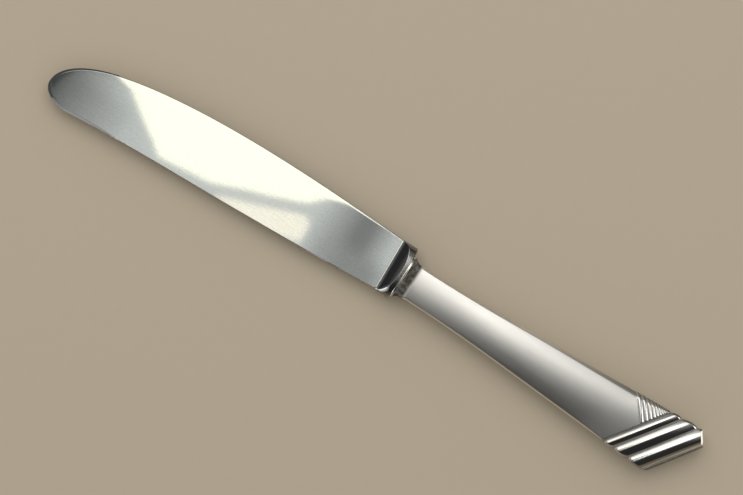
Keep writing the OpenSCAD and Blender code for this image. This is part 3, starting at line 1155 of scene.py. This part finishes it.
solder_metal = solder_finish()
for name in ("seam_solder", "ferrule_solder"):
    wear(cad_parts[name], solder_metal)
cement = cement_finish()
wear(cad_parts["handle_cement"], cement)
print("solder nodes", len(solder_metal.node_tree.nodes), "and cement nodes", len(cement.node_tree.nodes))

# %% [markdown]
# ## What each piece stands for
# Every piece rides on the one body that a knife has, and takes the place of its construction node.

# %% Pieces and the nodes they replace
stands_for = (
    (knife_blade, "blade", "blade_steel"),
    (ring, "ferrule_plate", "handle_silver"),
    (front_half, "handle_front_half", "handle_silver"),
    (back_half, "handle_back_half", "handle_silver"),
)
for piece, node, slot in stands_for:
    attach(piece, "root")
    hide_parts(node)
    print(piece.name, "stands for", node)

# %% [markdown]
# ## Floor, room and lamp
# The floor is plain and pale. An evenly pale room lights everything a little, and a soft lamp above the knife
# in the picture adds the shadow below it. Together they light a surface so that it shows the colour it has.

# %% The floor
floor_colour = (0.49, 0.42, 0.32, 1)
floor_shade = (0.45, 0.385, 0.29, 1)
bpy.ops.object.select_all(action="DESELECT")
bpy.ops.mesh.primitive_plane_add(size=8, location=(0, 0, 0))
floor = bpy.context.object
floor.name = "pale_floor"
paper = finish("pale_paper")
fibres = paper.grain(evenly, 300.0, 4.0)
floor_tone = paper.blend(fibres * 0.3, floor_colour, floor_shade)
wear(floor, paper.surface(Base_Color=floor_tone, Roughness=0.9, Specular_IOR_Level=0.0))
print("floor", floor.name, "with", len(paper.tree.nodes), "nodes")

# %% The room and the lamp
room_colour = (0.95, 0.94, 0.92, 1)
room_level = 0.57
lamp_power = 9.0
lamp_size = (1.5, 1.2)
lamp_back = 0.6
lamp_height = 1.2
room = Graph(bpy.data.worlds.new("pale_room"))
walls = room.node("ShaderNodeBackground", Color=room_colour, Strength=room_level)
room.node("ShaderNodeOutputWorld", Surface=walls)
bpy.context.scene.world = room.owner
bpy.ops.object.select_all(action="DESELECT")
bpy.ops.object.light_add(type="AREA", location=image_up * lamp_back + Vector((0, 0, lamp_height)))
lamp = bpy.context.object
lamp.name = "soft_lamp"
lamp.data.shape = "RECTANGLE"
lamp.data.size, lamp.data.size_y = lamp_size
lamp.data.energy = lamp_power
lamp.rotation_euler = (-lamp.location).to_track_quat("-Z", "Y").to_euler()
lamp.visible_camera = False
lamp.visible_glossy = False
print("lamp at", [round(v, 2) for v in lamp.location], "with", lamp_power, "watts")

# %% [markdown]
# ## A tent for reflections
# Polished metal shows little but its surroundings, so silver is photographed in a tent of cloth. Here a
# glowing dome stands in for one, and what the metal shows of it is painted reflection. It is bright on the
# side that lies above the knife in the picture and dark on the other, and it fades towards the floor. Only
# reflections see it, so it lights nothing else.

# %% The tent
tent_radius = 2.0
tent_foot = 0.35
tent_full = 0.55
tent_dark = (0.08, 0.073, 0.06, 1)
tent_brown = (0.15, 0.125, 0.09, 1)
tent_turn = 0.2
tent_white = (0.98, 0.99, 1.0)
tent_levels = (
    (0.25, 0.012), (0.325, 0.03), (0.41, 0.1), (0.5, 0.18), (0.6, 0.3), (0.675, 0.35), (0.75, 0.35),
)


def tinted(levels, colour):
    """Stops of one colour at several levels of brightness."""
    return [(place, (level * colour[0], level * colour[1], level * colour[2], 1)) for place, level in levels]


def only_reflected(piece):
    """Hide a piece of the studio from everything but reflections."""
    piece.visible_camera = False
    piece.visible_diffuse = False
    piece.visible_shadow = False
    piece.visible_transmission = False


def glowing(graph, colour):
    """Finish a graph with light of that colour, and give back the material."""
    light = graph.node("ShaderNodeEmission", Color=colour)
    graph.node("ShaderNodeOutputMaterial", Surface=light)
    return graph.owner


bpy.ops.object.select_all(action="DESELECT")
bpy.ops.mesh.primitive_uv_sphere_add(segments=64, ring_count=32, radius=tent_radius)
tent = bpy.context.object
tent.name = "tent"
edit()
bpy.ops.mesh.bisect(plane_co=(0, 0, 0.001), plane_no=(0, 0, 1), clear_inner=True)
leave_edit()
# The dome glows; its colours are painted reflection for the metal, brown near the floor.
tent_glow = finish("tent_reflection_glow")
place = tent_glow.node("ShaderNodeTexCoord", output=3)
towards = tent_glow.node("ShaderNodeVectorMath", {"operation": "DOT_PRODUCT"}, output=1, i0=place,
                     i1=tuple(image_up))
high = tent_glow.node("ShaderNodeSeparateXYZ", output=2, Vector=place)
side = tent_glow.node("ShaderNodeValToRGB", {"stops": tinted(tent_levels, tent_white)},
                  Fac=0.5 + towards * (0.5 / tent_radius))
foot = tent_glow.smooth(high, tent_foot * tent_radius, tent_full * tent_radius)
facing = tent_glow.smooth(towards, -tent_turn * tent_radius, tent_turn * tent_radius)
skirt = tent_glow.blend(facing, tent_brown, tent_dark)
wear(tent, glowing(tent_glow, tent_glow.blend(foot, skirt, side)))
only_reflected(tent)
print("tent", tent_radius, "m high, with", len(tent_glow.tree.nodes), "nodes")

# %% [markdown]
# ## Cards over the knife
# A flat blade is a mirror, so what it shows is placed card by card. Each card hangs over the knife where the
# camera sees it reflected at chosen points of the blade, and only reflections see it. The largest is graded
# along the blade, in one way by the edge and in another by the back. One is white and one warm. Upright
# flags stand round the blade for the chamfers and the shoulder's rim, and a card further off is for the back.
# A pair, white and dark, hangs over the handle. Their border runs along the ribs, so each rib turns from
# white to black at its crest. A flag beyond the butt and cards just over the floor are for the handle's steep
# sides and the facet: a dim one there is a painted shadow of the floor, and a bright one a painted highlight.
# All these cards and flags glow, so what the metal shows of them is painted reflection.

# %% Cards over the knife
card_height = 300.0
flag_reach = 200.0
neutral = (1, 1, 1)


def mirrored(along, across):
    """Where a card hangs that the camera sees reflected at a place on the blade's side."""
    share = card_height / view_height
    x = along + (along - view_along) * share + 2 * card_height * tip_taper
    y = across + (across - view_across) * share - 2 * card_height * edge_taper
    return x, y


def panel(name, corners, faces, colour, start, end, levels, back_levels=None, low=0, high=1):
    """A panel that only reflections see, graded along the knife and, with back_levels, also across it."""
    mesh = bpy.data.meshes.new(name)
    mesh.from_pydata([placed(*corner) for corner in corners], [], faces)
    piece = bpy.data.objects.new(name, mesh)
    bpy.context.scene.collection.objects.link(piece)
    graph = finish(name)
    place = graph.node("ShaderNodeTexCoord", output=3)
    x = graph.node("ShaderNodeSeparateXYZ", Vector=place)
    first = placed(start, 0, 0).x
    last = placed(end, 0, 0).x
    share = (x - first) * (1 / (last - first))
    shown = graph.node("ShaderNodeValToRGB", {"stops": tinted(levels, colour)}, Fac=share)
    if back_levels:
        y = graph.node("ShaderNodeSeparateXYZ", output=1, Vector=place)
        behind = graph.smooth(y, placed(0, low, 0).y, placed(0, high, 0).y)
        at_back = graph.node("ShaderNodeValToRGB", {"stops": tinted(back_levels, colour)}, Fac=share)
        shown = graph.blend(behind, shown, at_back)
    wear(piece, glowing(graph, shown))
    only_reflected(piece)
    print(name, "with", len(levels), "levels")


def even(level):
    """Stops of one level."""
    return ((0, level), (1, level))


def card(name, corners, colour, start, end, levels, lift=0.0, **across):
    """A level card."""
    places = [(x, y, card_height + lift) for x, y in corners]
    panel(name, places, [list(range(len(corners)))], colour, start, end, levels, **across)


def flag(name, line, low, high, near_level, far_level):
    """An upright panel along a line on the floor, with levels at the heel and well beyond the tip."""
    count = len(line)
    places = [(x, y, low) for x, y in line] + [(x, y, high) for x, y in line]
    faces = [[k, k + 1, k + 1 + count, k + count] for k in range(count - 1)]
    panel(name, places, faces, neutral, 0, flag_reach, ((0, near_level), (1, far_level)))


# %% The blade's cards
cool_white = (0.97, 0.995, 0.96)
cream = (1.0, 0.995, 0.82)
warm_white = (1.0, 0.95, 0.8)
graded_corners = ((-6, -30), (340, -30), (340, 24), (-6, 24))
edge_levels = (
    (0.05, 0.3), (0.075, 0.9), (0.1, 0.88), (0.16, 0.34), (0.19, 0.32), (0.24, 0.6), (0.29, 0.93),
    (0.77, 0.9), (0.82, 0.84), (0.9, 0.5), (0.94, 0.33), (0.97, 0.1), (1.0, 0.08),
)
back_levels = (
    (0.05, 0.3), (0.075, 0.7), (0.114, 0.44), (0.19, 0.44), (0.24, 0.57), (0.29, 0.93),
    (0.7, 0.92), (0.76, 0.87), (0.79, 0.73), (0.93, 0.29), (0.97, 0.11), (1.0, 0.08),
)
white_corners = (
    (140, -28), (109, -4.9), (103, -0.6), (98.5, 2.7), (91, 7.7), (88, 10.5), (69, 8.5), (52, 2.3),
    (39, -3), (32, -9.9), (12, -29.7),
)
warm_corners = ((37, 0.7), (34, 3), (34, 9), (50, 14), (66, 11.3))
back_corners = ((100, 6), (190, 6), (190, 400), (100, 400))
tip_line = ((163, 61), (185, 30), (190, 9), (180, -30), (150, -62), (100, -75))
graded_start, graded_low = mirrored(-6, -2)
graded_end, graded_high = mirrored(134, 6)
card("graded_card", [mirrored(*p) for p in graded_corners], cool_white, graded_start, graded_end,
     edge_levels, 2.0, back_levels=back_levels, low=graded_low, high=graded_high)
card("white_card", [mirrored(*p) for p in white_corners], cream, 0, 100, even(1.95))
card("warm_card", [mirrored(*p) for p in warm_corners], warm_white, 0, 100, even(1.65))
flag("tip_flag", tip_line, 6.0, 80.0, 0.1, 0.1)
flag("low_flag", ((192, 60), (192, -60)), 0.5, 6.0, 0.03, 0.03)
flag("back_flag", ((163, 61), (140, 78), (70, 85)), 0.5, 120.0, 1.0, 0.12)
flag("rim_flag", ((108, 68), (20, 80)), 0.5, 70.0, 1.8, 1.8)
card("back_card", back_corners, neutral, 100, 190, ((0, 0.5), (1, 0.2)), 2.5)

# %% The handle's cards
soft_white = (1.0, 0.98, 0.94)
shaded_floor_glow = (1.0, 0.9, 0.7)
facet_white = (1.0, 0.97, 0.9)
handle_white = (
    (-12, 75), (-24, 30), (-42, -20), (-62, -54), (-86, -84), (-106.7, -101), (-130, -122),
    (118, -294), (420, -506), (420, -120), (173, -66), (-12, -66),
)
handle_dark = ((-62, -40), (-107, -95), (-517, 199), (-400, 400), (-80, 160))
handle_levels = (
    (0.0, 0.75), (0.147, 1.15), (0.294, 1.65), (0.382, 2.1), (0.441, 2.2), (0.493, 1.35),
    (0.556, 1.15), (0.676, 1.0), (1.0, 0.85),
)
card("handle_white_card", handle_white, soft_white, -260, 420, handle_levels, 1.0)
card("handle_dark_card", handle_dark, neutral, 0, 100, even(0.02), 0.5)
flag("right_flag", ((-370, -330), (-520, -90)), 20.0, 480.0, 2.4, 2.4)
# Two glowing cards just over the floor: the first is dim, a painted shadow of the floor for the handle's
# steep sides to reflect, and the facet card is a painted highlight.
over_floor = -5.1
floor_shadow_places = (
    (-110, -6), (-90, 16), (-134, 57), (-156, 37), (-108, -9), (-112, -80), (-40, -80), (-40, -6.5),
)
facet_places = ((-112, -7), (-109, -12), (-150, -62), (-184, -28))
floor_shadow_corners = [(x, y, over_floor) for x, y in floor_shadow_places]
facet_corners = [(x, y, over_floor) for x, y in facet_places]
floor_shadow_faces = [[0, 1, 2, 3], [4, 5, 6, 7]]
panel("floor_shadow_card", floor_shadow_corners, floor_shadow_faces, shaded_floor_glow, -88, -42, ((0, 0.1), (1, 0.46)))
panel("facet_card", facet_corners, [[0, 1, 2, 3]], facet_white, 0, 100, even(1.2))
bpy.context.scene.view_settings.view_transform = "Standard"
